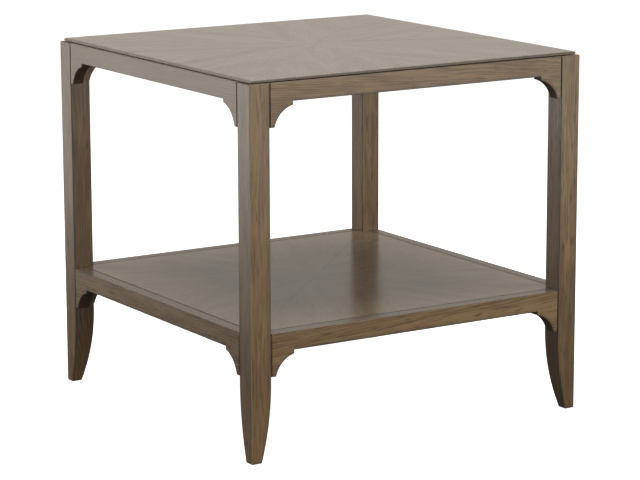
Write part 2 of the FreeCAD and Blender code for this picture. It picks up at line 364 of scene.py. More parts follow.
def add_piece(
    name: str,
    shell: bmesh.types.BMesh,
    material: bpy.types.Material,
    node: str,
) -> None:
    """Make a modelled mesh a piece of the table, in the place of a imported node.

    Args:
        name: the piece's name.
        shell: its mesh, in place, which is freed here.
        material: its finish.
        node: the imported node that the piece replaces.
    """
    for face in shell.faces:
        face.smooth = True
    mesh = bpy.data.meshes.new(name)
    shell.to_mesh(mesh)
    shell.free()
    mesh.set_sharp_from_angle(angle=SHARP_ANGLE)
    mesh.materials.append(material)
    piece = bpy.data.objects.new(name, mesh)
    bpy.context.scene.collection.objects.link(piece)
    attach(piece, BODY)
    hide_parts(node)
    LOG.info("modelled %s in the place of %s", name, node)


# The oak's noise, along the grain, across the face and into the board
BEND = Waves((2.2, 9.0, 9.0), (0.0, 1.7, 4.1))
RIPPLE = Waves((15.0, 30.0, 30.0), (0.0, 6.2, 0.4))
UNEVEN_RINGS = Waves((0.33, 6.0, 1.0))
FADED_RINGS = Waves((7.0, 60.0, 60.0), (0.0, 8.0, 3.0))
STREAKS = Waves((13.0, 140.0, 140.0), (0.0, 0.0, 7.3), (3.1, 0.0, 0.0), rough=0.62)
BROAD_BANDS = Waves((3.6, 34.0, 34.0), (0.0, 5.3, 0.0), (1.9, 0.0, 0.0), octaves=3.0)
CASTS = Waves((18.0, 75.0, 75.0), (0.0, 0.0, 9.1), (2.3, 0.0, 0.0))
FIBRES = Waves((22.0, 1100.0, 1100.0), per_seed=(0.0, 1.0, 0.0))
DASHES = Waves((46.0, 620.0, 620.0), (0.0, 0.0, 2.2))
FLECKS = Waves((30.0, 300.0, 300.0), (0.0, 0.0, 5.0), (0.0, 1.3, 0.0))
LEAST_STREAK_OCTAVES = 1.0
FINE_STREAK_OCTAVES = 3.0    # more on the finest grain

# Where the oak's smooth steps start and end
FADE_STEP = (0.34, 0.66)
RING_OPENS = (0.0, 0.16)     # in parts of one ring
RING_CLOSES = (0.2, 0.85)
DASH_STEP = (0.58, 0.72)
FLECK_STEP = (0.60, 0.70)
WARM_STEP = (0.50, 0.66)
COOL_STEP = (0.34, 0.50)
# Steps of the painted light and shade: on faces that look up, under arches, on inward faces, towards the
# feet, on outer corners and along the edges
LOOKS_UP = (0.5, 0.8)        # upright part of the face's direction
ARCH_STEP = (0.3, 0.6)       # how far a bracket's face looks to the front
TURNED_IN = (0.4, 0.8)       # how far a face looks to the table's axis
LIGHTER_TOP = (0.09, 0.21)   # metres above a leg's middle
DARKER_FOOT = (-0.11, -0.02)
OUTER_CORNER = (1.1, 1.3)    # above one only where two outer faces meet
EASED_STEP = (0.74, 0.84)
EDGE_STEP = (0.02, 0.18)
UNSHADED_CORNER_STEP = (1.02, 1.15)
LIT_UPPER_EDGE_STEP = (0.03, 0.15)
EDGE_SHADE_END = 0.001            # half the length over which the painted edge shade runs out

# How much each feature of the oak counts
DEPTH_DRIFT = 0.6            # share of the rings' drift that also goes into the board
RING_WANDER = 2.6            # in rings
MIDDLE_TONE = 0.5            # between the early and the late wood
EVEN_PORES = 0.2
BROAD_SHARE = 1.10
LEAST_PORES = 0.35           # share of the pores that lies between the rings' open bands
PORE_SHARE = 0.55
FLECK_SHARE = 0.225
PORE_DULL = 0.14             # added roughness
STREAK_DULL = 0.08
# roughness added where the painted inner shade lies
HIDDEN_DULL = 0.3
SEAM_DULL = 0.35
FIBRE_HEIGHT = 0.25          # shares of the relief's depth
STREAK_HEIGHT = 0.25
PORE_HEIGHT = -0.6
RING_HEIGHT = -0.2
RELIEF_DEPTH = 0.00022
LACQUER_IOR = 1.5
CORNER_SAMPLES = 4


@dataclass(frozen=True)
class OakStain:
    """Stain on open-grained oak: linear colours, from the pale latewood to the filled pores, and the
    colours of painted shade, light and highlight.
    """

    late: Triple = (0.218, 0.137, 0.063)
    early: Triple = (0.120, 0.067, 0.028)
    pore: Triple = (0.049, 0.028, 0.013)
    warm: Triple = (0.176, 0.088, 0.048)
    cool: Triple = (0.179, 0.120, 0.042)
    # colour of the painted shade along the edges
    painted_edge_shade: Triple = (0.056, 0.046, 0.034)
    # colour of the painted light or shade on faces that look up
    painted_top_shading: Triple = (0.105, 0.086, 0.064)
    # colour of the painted highlight on outer corners
    painted_corner_highlight: Triple = (0.36, 0.25, 0.14)
    roughness: float = 0.36


@dataclass(frozen=True)
class BoardCut:
    """How a board was cut from its log, how plainly its grain shows, and how much painted shade and
    highlight it takes.
    """

    grain: Grain
    pith: Pair = (0.0, 0.0)
    seed: float = 0.0
    pitch: float = 0.0030
    sway: float = 0.022
    slope: float = 0.0
    ripple: float = 0.004
    figure: float = 1.0
    contrast: float = 0.42
    tint: float = 0.45
    pores: float = 1.0
    fine: float = 1.0
    # painted shade along the edges: its share, how far along it runs, and how much is left off the
    # corners
    painted_edge_shade: float = 1.0
    edge_shade_half: float = 1.0
    unshaded_corners: float = 1.0
    # shares of painted shade on inward faces and under arches
    inward: float = 0.0
    soffit: float = 0.0
    # share of painted shade towards the foot
    painted_foot_shade: float = 0.0
    # share of painted highlight on the outer corner
    painted_corner_highlight: float = 0.0


@dataclass(frozen=True)
class GrainPlace:
    """Where a point lies in its board: along the grain, across it on the face, and into the board."""

    along: Signal
    face: Signal
    depth: Signal


@dataclass(frozen=True)
class Figure:
    """What a board's surface shows, as signals."""

    tone: Signal
    cast: Signal
    streak: Signal
    porous: Signal
    pore: Signal
    fleck: Signal
    fibre: Signal


@dataclass(frozen=True)
class Oak:
    """Stained oak with growth rings, pores and streaks, and painted shade along its edges."""

    stain: OakStain
    # share and width of the painted shade along the edges
    painted_edge_shade: float = 0.9
    edge_shade_width: float = 0.0085
    # share of painted light or shade on faces that look up; whether edges that look up stay free of
    # painted edge shade; their lower roughness
    painted_top_shading: float = 0.8
    lit_upper_edges: bool = True
    crown_polish: float = 0.0
    relief: float = 0.25

    @staticmethod
    def figure(graph: ShaderGraph, place: GrainPlace, cut: BoardCut) -> Figure:
        """Draw the growth rings, the streaks and the pores.

        Args:
            graph: where the nodes go.
            place: the point in its board, in metres.
            cut: how the board lay in its log.

        Returns:
            The figure.
        """
        seed, fine = cut.seed, cut.fine
        slanted = place.face + place.along * cut.slope
        wood = graph.join(place.along, slanted, place.depth)
        bend = BEND.read(graph, wood, seed).centred()
        ripple = RIPPLE.read(graph, wood, seed).centred()
        drift = bend * cut.sway + ripple * cut.ripple
        across = slanted + drift - cut.pith[0]
        inward = place.depth + drift * DEPTH_DRIFT - cut.pith[1]
        rings = (across * across + inward * inward).root() * (1.0 / cut.pitch)
        uneven = UNEVEN_RINGS.read(graph, graph.join(rings, place.along, seed), seed).centred()
        ring = (rings + uneven * RING_WANDER).fraction()
        faded = FADED_RINGS.read(graph, wood, seed).rise(FADE_STEP)
        porous = ring.rise(RING_OPENS) * (1.0 - ring.rise(RING_CLOSES)) * faded
        octaves = LEAST_STREAK_OCTAVES + FINE_STREAK_OCTAVES * fine
        streak = replace(STREAKS.scaled(1.0, fine), octaves=octaves).read(graph, wood, seed)
        lines = streak.centred() - (porous - EVEN_PORES) * cut.contrast
        bands = BROAD_BANDS.read(graph, wood, seed).centred() * BROAD_SHARE
        dash = DASHES.scaled(fine, fine).read(graph, wood, seed).rise(DASH_STEP)
        fleck = FLECKS.scaled(fine, fine).read(graph, wood, seed).rise(FLECK_STEP)
        return Figure(
            tone=MIDDLE_TONE + lines * cut.figure + bands,
            cast=CASTS.read(graph, wood, seed),
            streak=streak,
            porous=porous,
            pore=dash * (LEAST_PORES + (1.0 - LEAST_PORES) * porous) * cut.pores,
            fleck=fleck * (FLECK_SHARE * cut.figure),
            fibre=FIBRES.read(graph, wood, seed),
        )

    def finish(
        self,
        graph: ShaderGraph,
        place: GrainPlace,
        cut: BoardCut,
        seam: Optional[Signal] = None,
    ) -> None:
        """Write the oak's colour, gloss and relief.

        Args:
            graph: where the nodes go.
            place: the point in its board, in metres.
            cut: how the board lay in its log.
            seam: how dark a glue line or border is, else zero.
        """
        stain = self.stain
        wood = self.figure(graph, place, cut)
        colour = graph.blend(wood.tone, stain.early, stain.late)
        colour = graph.blend(wood.cast.rise(WARM_STEP) * cut.tint, colour, stain.warm)
        colour = graph.blend((1.0 - wood.cast.rise(COOL_STEP)) * cut.tint, colour, stain.cool)
        colour = graph.blend((wood.pore * PORE_SHARE).larger(wood.fleck), colour, stain.pore)
        dull = wood.pore * PORE_DULL + wood.streak.centred() * STREAK_DULL
        # painted shade towards the foot, in the pore colour
        if cut.painted_foot_shade:
            low = 1.0 - place.along.rise(DARKER_FOOT)
            colour = graph.blend(low * cut.painted_foot_shade, colour, stain.pore)
        # painted light and shade on inward faces, arches, edges, corners and tops
        if self.painted_edge_shade:
            colour, dull = self.paint_light_and_shade(graph, place.along, cut, colour, dull)
        if seam is not None:
            colour = graph.blend(seam, colour, stain.pore)
            dull = dull + seam * SEAM_DULL
        ridges = wood.fibre * FIBRE_HEIGHT + wood.streak * STREAK_HEIGHT
        height = ridges + wood.pore * PORE_HEIGHT + wood.porous * RING_HEIGHT
        graph.surface(
            Base_Color=colour,
            Roughness=stain.roughness + dull,
            Normal=graph.relief(height, self.relief, RELIEF_DEPTH),
            IOR=LACQUER_IOR,
        )

    def paint_light_and_shade(
        self,
        graph: ShaderGraph,
        along: Signal,
        cut: BoardCut,
        colour: Signal,
        dull: Signal,
    ) -> tuple[Signal, Signal]:
        """Paint shade on inward faces, under arches and along the edges, a highlight on outer corners,
        and light or shade on faces that look up.

        Args:
            graph: where the nodes go.
            along: place along the grain, in metres.
            cut: how far each of them goes on this board.
            colour: the stained wood.
            dull: its added roughness.

        Returns:
            The colour and the added roughness with the painted light and shade.
        """
        stain = self.stain
        flat = graph.out(graph.node("ShaderNodeNewGeometry"), "True Normal")
        hidden = self.inner_shade(graph, flat, along, cut)
        # painted shade on inward faces and under arches, in the pore colour
        colour = graph.blend(hidden, colour, stain.pore)
        # painted shade along the edges
        colour = graph.blend(self.edges(graph, flat, along, cut), colour, stain.painted_edge_shade)
        # painted highlight on outer corners
        if cut.painted_corner_highlight:
            corner = graph.dot(flat, self.outward(graph)).rise(OUTER_CORNER)
            colour = graph.blend(corner * cut.painted_corner_highlight, colour, stain.painted_corner_highlight)
        # painted light or shade on faces that look up
        level = graph.split(flat)[2].rise(LOOKS_UP)
        colour = graph.blend(level * self.painted_top_shading, colour, stain.painted_top_shading)
        return colour, dull + hidden * HIDDEN_DULL - level * self.crown_polish

    @staticmethod
    def outward(graph: ShaderGraph) -> Signal:
        """Away from the table's upright axis, as the signs of X and Y."""
        x, y, _ = graph.split(graph.place())
        return graph.join(graph.math("SIGN", x), graph.math("SIGN", y), 0.0)

    def inner_shade(self, graph: ShaderGraph, flat: Signal, along: Signal, cut: BoardCut) -> Signal:
        """How much painted shade lies on faces that are turned inwards or look down from an arch.

        Args:
            graph: where the nodes go.
            flat: direction of the face.
            along: place along the grain, in metres.
            cut: the most that each kind of face darkens.

        Returns:
            The share of painted shade.
        """
        if cut.soffit:
            depth = abs(graph.split(flat)[cut.grain.value[2]])
            return (1.0 - depth.rise(ARCH_STEP)) * cut.soffit
        turned = (0.0 - graph.dot(flat, self.outward(graph))).rise(TURNED_IN)
        return turned * (1.0 - along.rise(LIGHTER_TOP)) * cut.inward

    def edges(self, graph: ShaderGraph, flat: Signal, along: Signal, cut: BoardCut) -> Signal:
        """Where painted shade lies along the edges; it is left off the outermost and innermost corners,
        and, where set, off edges that look up.

        Args:
            graph: where the nodes go.
            flat: direction of the face.
            along: place along the grain, in metres.
            cut: how far along the painted shade goes.

        Returns:
            The share of painted edge shade.
        """
        parts = [abs(part) for part in graph.split(flat)]
        eased = 1.0 - parts[0].larger(parts[1]).larger(parts[2]).rise(EASED_STEP)
        settings, inputs = {"samples": CORNER_SAMPLES}, {"Radius": self.edge_shade_width}
        rounded = graph.out(graph.node("ShaderNodeBevel", settings, inputs))
        agree = graph.dot(flat, rounded)
        near = (1.0 - agree * agree).larger(0.0).root().rise(EDGE_STEP)
        # the painted shade is left off the outermost and innermost corners
        unshaded = abs(graph.dot(rounded, self.outward(graph))).rise(UNSHADED_CORNER_STEP) * cut.unshaded_corners
        # edges that look up stay free of the painted shade
        if self.lit_upper_edges:
            unshaded = unshaded.larger(graph.split(rounded)[2].rise(LIT_UPPER_EDGE_STEP))
        held = 1.0 - abs(along).rise((cut.edge_shade_half - EDGE_SHADE_END, cut.edge_shade_half + EDGE_SHADE_END))
        return eased.larger(near) * (1.0 - unshaded) * held * (self.painted_edge_shade * cut.painted_edge_shade)


@dataclass(frozen=True)
class OakBoard(Finish):
    """One solid oak board, its pith measured from its middle."""

    oak: Oak
    cut: BoardCut
    middle: Triple

    def write(self, graph: ShaderGraph) -> None:
        """Lay the grain along the board's own axis."""
        parts = graph.split(graph.vector("SUBTRACT", "Vector", graph.place(), self.middle))
        place = GrainPlace(*(parts[axis] for axis in self.cut.grain.value))
        self.oak.finish(graph, place, self.cut)


@dataclass(frozen=True)
class SunburstVeneer(Finish):
    """Oak leaves that meet at the middle of a panel, each one turned over from the one beside it."""

    oak: Oak
    cut: BoardCut
    half: float
    leaf_angle: float = math.radians(22.5)
    leaf_shift: float = 0.0035
    glue_line: float = 0.0005
    glue_core: float = 0.3
    glue_darkness: float = 0.3
    border_line: float = 0.0024
    border_darkness: float = 0.0

    def write(self, graph: ShaderGraph) -> None:
        """Lay eight leaves round the table's axis."""
        x, y, _ = graph.split(graph.place())
        wide, deep = abs(x), abs(y)
        far, near = wide.larger(deep), wide.smaller(deep)
        along = far * math.cos(self.leaf_angle) + near * math.sin(self.leaf_angle)
        face = near * math.cos(self.leaf_angle) - far * math.sin(self.leaf_angle)
        leaf = x.above(0.0) + y.above(0.0) * 2.0 + wide.above(deep) * 4.0
        to_seam = near.smaller((far - near) * math.sqrt(0.5))
        seam = 1.0 - to_seam.rise((self.glue_core * self.glue_line, self.glue_line))
        border = far.above(self.half - self.border_line) * self.border_darkness
        dark = (seam * self.glue_darkness).larger(border)
        place = GrainPlace(along, face, leaf * self.leaf_shift)
        self.oak.finish(graph, place, self.cut, dark)


@dataclass(frozen=True)
class PlainTimber(Finish):
    """Unstained straight-grained wood of the hidden pieces."""

    pale: Triple
    dark: Triple
    grain: Waves
    roughness: float
    grain_step: Pair = (0.32, 0.68)
    grain_dull: float = 0.1
    speck: Waves = Waves((700.0, 700.0, 700.0), (0.0, 4.0, 1.0))
    speck_floor: float = 0.35
    speck_share: float = 0.35
    relief: float = 0.25
    relief_depth: float = 0.0003

    def write(self, graph: ShaderGraph) -> None:
        """Write the grain and its specks."""
        place = graph.place()
        grain = self.grain.read(graph, place)
        speck = self.speck.read(graph, place)
        colour = graph.blend(grain.rise(self.grain_step), self.dark, self.pale)
        colour = graph.blend((speck - self.speck_floor) * self.speck_share, colour, self.dark)
        graph.surface(
            Base_Color=colour,
            Roughness=self.roughness + grain.centred() * self.grain_dull,
            Normal=graph.relief((grain + speck) * 0.5, self.relief, self.relief_depth),
        )


@dataclass(frozen=True)
class MouldedPlastic(Finish):
    """Fine-grained nylon of the glides."""

    colour: Triple = (0.060, 0.050, 0.042)
    scuffed: Triple = (0.120, 0.108, 0.095)
    roughness: float = 0.46
    grain: Waves = Waves((2600.0, 2600.0, 2600.0), (1.0, 2.0, 3.0))
    grain_dull: float = 0.2
    scuff: Waves = Waves((90.0, 420.0, 420.0), (5.0, 1.0, 0.0), octaves=3.0)
    scuff_step: Pair = (0.55, 0.75)
    scuff_share: float = 0.7
    relief: float = 0.2
    relief_depth: float = 0.0001

    def write(self, graph: ShaderGraph) -> None:
        """Write the grain and the scuffs."""
        place = graph.place()
        grain = self.grain.read(graph, place)
        scuff = self.scuff.read(graph, place).rise(self.scuff_step)
        graph.surface(
            Base_Color=graph.blend(scuff * self.scuff_share, self.colour, self.scuffed),
            Roughness=self.roughness + grain.centred() * self.grain_dull,
            Normal=graph.relief(grain, self.relief, self.relief_depth),
        )


@dataclass(frozen=True)
class PlatedSteel(Finish):
    """Zinc-plated steel of the screws."""

    bright: Triple = (0.60, 0.58, 0.52)
    dull: Triple = (0.36, 0.34, 0.30)
    roughness: float = 0.30
    cloud: Waves = Waves((320.0, 320.0, 320.0), (2.0, 0.0, 6.0), octaves=3.0)
    cloud_step: Pair = (0.35, 0.65)
    scratch: Waves = Waves((300.0, 2400.0, 900.0), (0.0, 3.0, 1.0))
    scratch_dull: float = 0.16
    relief: float = 0.12
    relief_depth: float = 0.00008

    def write(self, graph: ShaderGraph) -> None:
        """Write the clouded plating and its scratches."""
        place = graph.place()
        cloud = self.cloud.read(graph, place).rise(self.cloud_step)
        scratch = self.scratch.read(graph, place)
        graph.surface(
            Base_Color=graph.blend(cloud, self.dull, self.bright),
            Metallic=1.0,
            Roughness=self.roughness + scratch * self.scratch_dull,
            Normal=graph.relief(scratch, self.relief, self.relief_depth),
        )


@dataclass
class LegSet:
    """The four legs, cut so that both outer faces show straight grain."""

    oak: Oak
    cuts: Mapping[Corner, BoardCut]

    def dress(self) -> None:
        """Give each leg a board of its own."""
        for corner, cut in self.cuts.items():
            node = f"leg_{corner.value}"
            dress_node(node, OakBoard(self.oak, cut, middle_of(node)).material(f"oak_{node}"))


@dataclass
class SideFrame:
    """The aprons or rails of one level, with the brackets that hang from them."""

    member: str
    bracket: str
    oaks: Mapping[Side, Oak]
    cuts: Mapping[Side, BoardCut]
    bracket_seeds: Optional[Mapping[Side, Pair]] = None
    # share of painted shade under the brackets' arches
    soffit: float = 0.9
    joint_clear: float = 0.0035

    def dress(self) -> None:
        """Give each side a board of its own, and its brackets the same one or others like it."""
        for side, cut in self.cuts.items():
            node = f"{self.member}_{side.value}"
            brackets = [f"{self.bracket}_{side.value}_{end}" for end in "ab"]
            free_half = min(abs(corner[cut.grain.value[0]]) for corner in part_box(brackets[0]))
            cut = replace(cut, edge_shade_half=free_half)
            board = OakBoard(self.oaks[side], cut, middle_of(node))
            dress_node(node, board.material(f"oak_{node}"))
            for place, bracket in enumerate(brackets):
                seed = self.bracket_seeds[side][place] if self.bracket_seeds else None
                self.dress_bracket(bracket, board, seed)

    def dress_bracket(self, bracket: str, board: OakBoard, seed: Optional[float]) -> None:
        """Finish one bracket, with painted shade under its arch and painted edge shade stopped short of
        the leg.

        Args:
            bracket: the bracket's node.
            board: the board that it hangs from.
            seed: the seed of a board of its own, if it has one.
        """
        cut, middle = board.cut, board.middle
        if seed is not None:
            cut = replace(cut, pith=(cut.pith[1], cut.pith[0]), seed=seed)
            middle = middle_of(bracket)
        axis = cut.grain.value[0]
        reach = max(abs(corner[axis] - middle[axis]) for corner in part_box(bracket))
        cut = replace(cut, soffit=self.soffit, edge_shade_half=reach - self.joint_clear)
        arch = OakBoard(replace(board.oak, painted_top_shading=0.0), cut, middle)
        dress_node(bracket, arch.material(f"oak_{bracket}"))


@dataclass
class TopPanel:
    """The veneered top with its mitred edge strips, and the blocks that carry it."""

    veneer: SunburstVeneer
    strip_oaks: Mapping[Side, Oak]
    core: PlainTimber
    block: PlainTimber
    strip_pith: Pair = (0.05, 0.03)
    strip_seed: float = 61.0
    strip_seed_step: float = 2.9

    def dress(self) -> None:
        """Finish the veneer, the edge strips, the core and the blocks."""
        dress_node("top_veneer", self.veneer.material("oak_top_veneer"))
        dress_node("top_core", self.core.material("top_core_board"))
        for place, side in enumerate(Side):
            node = f"top_lipping_{side.value}"
            seed = self.strip_seed + self.strip_seed_step * place
            cut = BoardCut(SIDE_GRAIN[side], self.strip_pith, seed)
            strip = OakBoard(self.strip_oaks[side], cut, middle_of(node))
            dress_node(node, strip.material(f"oak_{node}"))
        blocks = self.block.material("corner_block_wood")
        for corner in Corner:
            dress_node(f"corner_block_{corner.value}", blocks)


@dataclass
class ShelfPanel:
    """The veneered shelf and the cleats that carry it."""

    veneer: SunburstVeneer
    core: PlainTimber
    cleat: PlainTimber

    def dress(self) -> None:
        """Finish the veneer, the core and the cleats."""
        dress_node("shelf_veneer", self.veneer.material("oak_shelf_veneer"))
        dress_node("shelf_core", self.core.material("shelf_core_board"))
        cleats = self.cleat.material("shelf_cleat_wood")
        for side in Side:
            dress_node(f"shelf_cleat_{side.value}", cleats)


@dataclass
class Glides:
    """Tack glides: a round pad with a softened rim under each foot, and the nail that holds it."""

    finish: MouldedPlastic
    pad_height: float = 0.0010
    rim_round: float = 0.0006
    rim_steps: int = 4
    rim_share: float = 0.99
    nail_radius: float = 0.00125
    nail_point: float = 0.0010
    turn_steps: int = 40

    def build(self) -> None:
        """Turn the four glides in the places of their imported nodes."""
        plastic = self.finish.material("glide_nylon")
        for corner in Corner:
            node = f"foot_glide_{corner.value}"
            add_piece(f"turned_glide_{corner.value}", self.turn(node), plastic, node)

    def turn(self, node: str) -> bmesh.types.BMesh:
        """Turn one glide.

        Args:
            node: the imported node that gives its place, width and length.

        Returns:
            The glide's mesh, in place.
        """
        low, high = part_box(node)
        middle = (low + high) / 2
        pad_radius = (high.x - low.x) / 2
        pad_top = low.z + self.pad_height
        outline = (
            (0.0, low.z),
            (pad_radius, low.z),
            (pad_radius, pad_top),
            (self.nail_radius, pad_top),
            (self.nail_radius, high.z - self.nail_point),
            (0.0, high.z),
        )
        shell = bmesh.new()
        line = [shell.verts.new((middle.x + radius, middle.y, height)) for radius, height in outline]
        edges = [shell.edges.new(pair) for pair in zip(line, line[1:])]
        bmesh.ops.spin(
            shell,
            geom=line + edges,
            cent=middle,
            axis=(0.0, 0.0, 1.0),
            angle=math.tau,
            steps=self.turn_steps,
            use_merge=True,
        )
        merge_and_face_out(shell)
        rim = {
            vert
            for vert in shell.verts
            if (vert.co - middle).xy.length > self.rim_share * pad_radius
            and vert.co.z < low.z + MERGE_WITHIN
        }
        rim_edges = [edge for edge in shell.edges if rim.issuperset(edge.verts)]
        bmesh.ops.bevel(
            shell,
            geom=rim_edges,
            offset=self.rim_round,
            segments=self.rim_steps,
            profile=0.5,
            affect="EDGES",
            material=-1,
        )
        return shell


@dataclass
class Screws:
    """Pan-head screws with a cross recess, driven up through the blocks and the cleats."""

    finish: PlatedSteel
    head_radius: float = 0.0040
    head_round: float = 0.0012
    head_round_steps: int = 3
    shank_radius: float = 0.0020
    recess_reach: float = 0.0021
    recess_half_width: float = 0.00045
    recess_depth: float = 0.0014
    recess_taper: float = 0.55
    round_steps: int = 24
    turn_step: float = math.radians(37.0)

    def build(self) -> None:
        """Drive the screws under the top and under the shelf."""
        steel = self.finish.material("screw_zinc")
        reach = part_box("top_screws")[1].x - self.head_radius
        top_places = [(x * reach, y * reach) for x in (-1, 1) for y in (-1, 1)]
        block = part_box("corner_block_front_left")[0]
        self.drive("top_screws", top_places, block.z, steel)
        cleat = middle_of("shelf_cleat_right")[0]
        shelf_places = [(cleat, 0.0), (0.0, cleat), (-cleat, 0.0), (0.0, -cleat)]
        self.drive("shelf_screws", shelf_places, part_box("shelf_cleat_right")[0].z, steel)

    def drive(
        self,
        node: str,
        places: Sequence[Pair],
        seat: float,
        steel: bpy.types.Material,
    ) -> None:
        """Set one group of screws, each stopped at a turn of its own.

        Args:
            node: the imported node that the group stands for.
            places: the screws' axes on the plan.
            seat: height of the face that the heads draw up to.
            steel: the finish.
        """
        low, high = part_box(node)
        pattern = bpy.data.meshes.new("screw_pattern")
        one = self.screw(low.z - seat, high.z - seat)
        one.to_mesh(pattern)
        one.free()
        shell = bmesh.new()
        for count, (x, y) in enumerate(places):
            before = len(shell.verts)
            shell.from_mesh(pattern)
            shell.verts.ensure_lookup_table()
            place = Matrix.Translation((x, y, seat)) @ Matrix.Rotation(count * self.turn_step, 4, "Z")
            bmesh.ops.transform(shell, matrix=place, verts=shell.verts[before:])
        bpy.data.meshes.remove(pattern)
        add_piece(f"cross_{node}", shell, steel, node)

    def screw(self, head_low: float, tip: float) -> bmesh.types.BMesh:
        """Model one screw about the origin, its head's seat at zero height.

        Args:
            head_low: height of the head's lowest face.
            tip: height of the point.

        Returns:
            The screw's mesh.
        """
        shell = bmesh.new()
        drop = Matrix.Translation((0.0, 0.0, head_low))
        ring = bmesh.ops.create_circle(
            shell, segments=self.round_steps, radius=self.head_radius, matrix=drop
        )["verts"]
        rim = list({edge for vert in ring for edge in vert.link_edges})
        cross = self.cross_line(shell, head_low)
        bmesh.ops.bridge_loops(shell, edges=rim + cross)
        floor = self.raise_loop(shell, cross, self.recess_depth, self.recess_taper)
        bmesh.ops.edgeloop_fill(shell, edges=floor)
        seat = self.raise_loop(shell, rim, -head_low, 1.0)
        neck = self.raise_loop(shell, seat, 0.0, self.shank_radius / self.head_radius)
        end = self.raise_loop(shell, neck, tip - self.shank_radius, 1.0)
        self.raise_loop(shell, end, self.shank_radius, 0.0)
        merge_and_face_out(shell)
        lip = [edge for edge in rim if edge.is_valid]
        bmesh.ops.bevel(
            shell,
            geom=lip,
            offset=self.head_round,
            segments=self.head_round_steps,
            profile=0.5,
            affect="EDGES",
            material=-1,
        )
        return shell

    def cross_line(self, shell: bmesh.types.BMesh, height: float) -> list[bmesh.types.BMEdge]:
        """Draw the recess's outline on the head.

        Args:
            shell: the mesh that takes the outline.
            height: height of the head's lowest face.

        Returns:
            The outline's edges, as many as the head's rim has.
        """
        half, reach = self.recess_half_width, self.recess_reach
        arm = ((reach, -half), (reach, half), (half, half))
        corners = []
        for quarter in range(4):
            turn = Matrix.Rotation(quarter * math.pi / 2, 3, "Z")
            corners += [shell.verts.new(turn @ Vector((x, y, height))) for x, y in arm]
        edges = [shell.edges.new(pair) for pair in zip(corners, corners[1:] + corners[:1])]
        cuts = self.round_steps // len(edges) - 1
        parts = bmesh.ops.subdivide_edges(shell, edges=edges, cuts=cuts)["geom_split"]
        return list({part for part in parts if isinstance(part, bmesh.types.BMEdge)} | set(edges))

    @staticmethod
    def raise_loop(
        shell: bmesh.types.BMesh,
        loop: Sequence[bmesh.types.BMEdge],
        rise: float,
        narrow: float,
    ) -> list[bmesh.types.BMEdge]:
        """Extrude a loop of edges upwards and towards the axis.

        Args:
            shell: the mesh.
            loop: the edges to extrude.
            rise: how far up the new loop goes.
            narrow: share of its width that the new loop keeps.

        Returns:
            The new loop's edges.
        """
        made = bmesh.ops.extrude_edge_only(shell, edges=loop)["geom"]
        verts = [part for part in made if isinstance(part, bmesh.types.BMVert)]
        bmesh.ops.scale(shell, vec=(narrow, narrow, 1.0), verts=verts)
        bmesh.ops.translate(shell, vec=(0.0, 0.0, rise), verts=verts)
        return [part for part in made if isinstance(part, bmesh.types.BMEdge)]


@dataclass(frozen=True)
class SoftBox:
    """One soft studio light; a light that isn't mirrored leaves no glare on the table."""

    name: str
    at: Triple
    aim: Triple
    size: Pair
    watts: float
    mirrored: bool = True
    colour: Triple = (1.0, 1.0, 1.0)

    def build(self) -> None:
        """Hang the light."""
        lamp = bpy.data.lights.new(self.name, "AREA")
        lamp.shape = "RECTANGLE"
        lamp.size, lamp.size_y = self.size
        lamp.energy = self.watts
        lamp.color = self.colour
        holder = bpy.data.objects.new(self.name, lamp)
        holder.location = self.at
        holder.rotation_euler = (Vector(self.aim) - Vector(self.at)).to_track_quat("-Z", "Y").to_euler()
        holder.visible_camera = False
        holder.visible_glossy = self.mirrored
        bpy.context.scene.collection.objects.link(holder)
        LOG.info("hung %s", self.name)


@dataclass(frozen=True)
class FloorPaint(Finish):
    """Matt pale paint with the faintest mottle, clear when seen from below."""

    colour: Triple = (0.80, 0.80, 0.79)
    darkest: float = 0.97
    mottle: Waves = Waves((3.0, 3.0, 3.0), octaves=3.0)
    roughness: float = 0.85
    specular: float = 0.1
    glow: float = 0.98

    def write(self, graph: ShaderGraph) -> None:
        """Write the paint and its clear underside."""
        mottle = self.mottle.read(graph, graph.place())
        darker = tuple(self.darkest * part for part in self.colour)
        paint = graph.shader(
            Base_Color=graph.blend(mottle, darker, self.colour),
            Roughness=self.roughness,
            Specular_IOR_Level=self.specular,
            Emission_Color=(1.0, 1.0, 1.0, 1.0),
            Emission_Strength=self.glow,
        )
        below = graph.out(graph.node("ShaderNodeNewGeometry"), "Backfacing")
        clear = graph.out(graph.node("ShaderNodeBsdfTransparent"))
        graph.node("ShaderNodeOutputMaterial", inputs={"Surface": graph.mix(below, paint, clear)})


